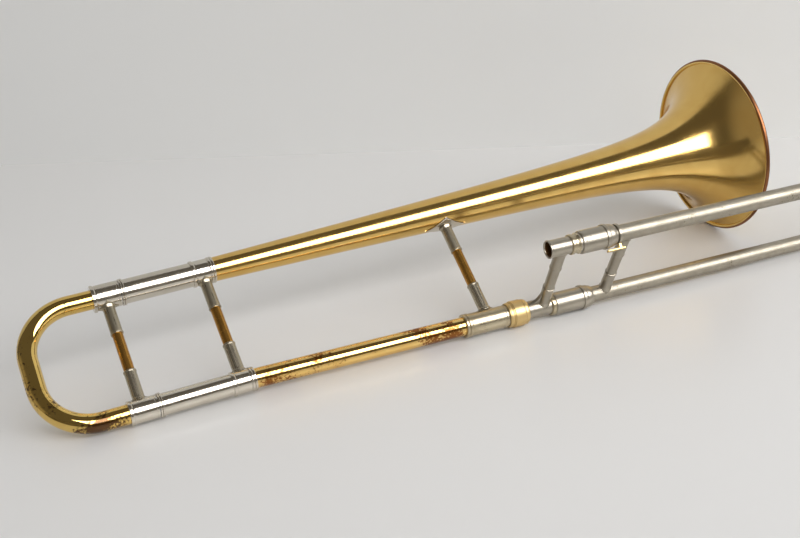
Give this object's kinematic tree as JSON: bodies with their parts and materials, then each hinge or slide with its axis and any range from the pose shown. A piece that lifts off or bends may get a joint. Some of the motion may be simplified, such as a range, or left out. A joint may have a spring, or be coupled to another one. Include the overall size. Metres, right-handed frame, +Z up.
{
  "type": "tenor trombone",
  "caption": "Slide brass instrument with a flared bell, a tuning slide, a hand slide with a lock ring and a sprung water key, lying at rest.",
  "frame": {"origin": "centre of the bounding box at the surface that the instrument lies on", "axes": "+X along the instrument from the tuning crook towards the slide bow, +Z up, the hand slide lies on the -Y side"},
  "size_m": [1.1784, 0.2445, 0.1778],
  "materials": {
    "lacquered_brass": "polished and lacquered, with small tarnish spots",
    "worn_brass": "drawn tube with the lacquer worn and browned",
    "raw_brass": "turned, unlacquered",
    "polished_nickel_silver": "polished",
    "satin_nickel_silver": "drawn tube, satin with fine scratches",
    "chromed_tube": "hard chromed and polished",
    "rim_wire_steel": "drawn wire",
    "cork": "matte pressed cork",
    "rubber": "matte"
  },
  "bodies": {
    "bell_section": {"bell_branch": "lacquered_brass", "spun_flare": "lacquered_brass", "rim_wire": "rim_wire_steel", "bell_ferrule": "polished_nickel_silver", "neck_ferrule": "polished_nickel_silver", "upper_sleeve": "polished_nickel_silver", "lower_sleeve": "polished_nickel_silver", "upper_mouth_ring": "polished_nickel_silver", "lower_mouth_ring": "polished_nickel_silver", "neck_pipe": "lacquered_brass", "neck_receiver": "polished_nickel_silver", "sleeve_brace_sockets": "polished_nickel_silver", "sleeve_brace_tube": "worn_brass", "bell_brace_sockets": "polished_nickel_silver", "bell_brace_tube": "worn_brass", "bell_brace_saddle": "polished_nickel_silver", "bell_plate": "polished_nickel_silver"},
    "tuning_slide": {"crook": "lacquered_brass", "upper_leg": "chromed_tube", "lower_leg": "chromed_tube", "crook_upper_ferrule": "polished_nickel_silver", "crook_lower_ferrule": "polished_nickel_silver", "crook_brace_sockets": "polished_nickel_silver", "crook_brace_tube": "worn_brass"},
    "lock_nut": {"lock_nut": "raw_brass"},
    "inner_slide": {"tenon": "satin_nickel_silver", "mouthpiece_receiver": "polished_nickel_silver", "leadpipe": "raw_brass", "upper_inner_tube": "chromed_tube", "lower_inner_tube": "chromed_tube", "upper_stocking": "chromed_tube", "lower_stocking": "chromed_tube", "upper_collar": "satin_nickel_silver", "lower_collar": "satin_nickel_silver", "upper_barrel": "satin_nickel_silver", "lower_barrel": "satin_nickel_silver", "upper_barrel_ring": "satin_nickel_silver", "lower_barrel_ring": "satin_nickel_silver", "corks": "cork", "inner_brace_sockets": "satin_nickel_silver", "inner_brace_tube": "satin_nickel_silver", "brace_gusset": "satin_nickel_silver"},
    "outer_slide": {"upper_outer_tube": "satin_nickel_silver", "lower_outer_tube": "satin_nickel_silver", "top_collars": "polished_nickel_silver", "outer_brace_sockets": "satin_nickel_silver", "outer_brace_tube": "satin_nickel_silver", "slide_plates": "satin_nickel_silver", "upper_bow_ferrule": "satin_nickel_silver", "lower_bow_ferrule": "satin_nickel_silver", "bow": "satin_nickel_silver", "bow_guard": "satin_nickel_silver", "bumper_socket": "satin_nickel_silver", "bumper": "rubber", "water_key_nipple": "satin_nickel_silver", "water_key_saddle": "satin_nickel_silver", "water_key_pin": "rim_wire_steel"},
    "slide_lock": {"slide_lock": "raw_brass"},
    "water_key": {"water_key_lever": "satin_nickel_silver", "water_key_pad": "cork"}
  },
  "joints": [
    {"name": "tuning_pull", "type": "slide", "parent": "bell_section", "child": "tuning_slide", "axis": [-0.9998, 0, -0.021], "range_m": [0, 0.055]},
    {"name": "nut_turn", "type": "hinge", "parent": "bell_section", "child": "lock_nut", "pos_m": [-0.15913, -0.0631, 0.01232], "axis": [0.9997, -0.0234, -0.0049], "continuous": true},
    {"name": "slide_swing", "type": "hinge", "parent": "bell_section", "child": "inner_slide", "pos_m": [-0.15913, -0.0631, 0.01232], "axis": [0.9997, -0.0234, -0.0049], "range_deg": [-22, 90]},
    {"name": "hand_slide", "type": "slide", "parent": "inner_slide", "child": "outer_slide", "axis": [0.9997, -0.0234, -0.0049], "range_m": [0, 0.575]},
    {"name": "lock_turn", "type": "hinge", "parent": "outer_slide", "child": "slide_lock", "pos_m": [-0.07748, -0.09938, 0.08791], "axis": [0.9997, -0.0234, -0.0049], "range_deg": [0, 40]},
    {"name": "key_press", "type": "hinge", "parent": "outer_slide", "child": "water_key", "pos_m": [0.47363, -0.08324, 0.02106], "axis": [-0.0233, -0.9109, -0.412], "range_deg": [0, 12], "stiffness_Nm_per_rad": 0.05, "springref_deg": -22.92}
  ]
}
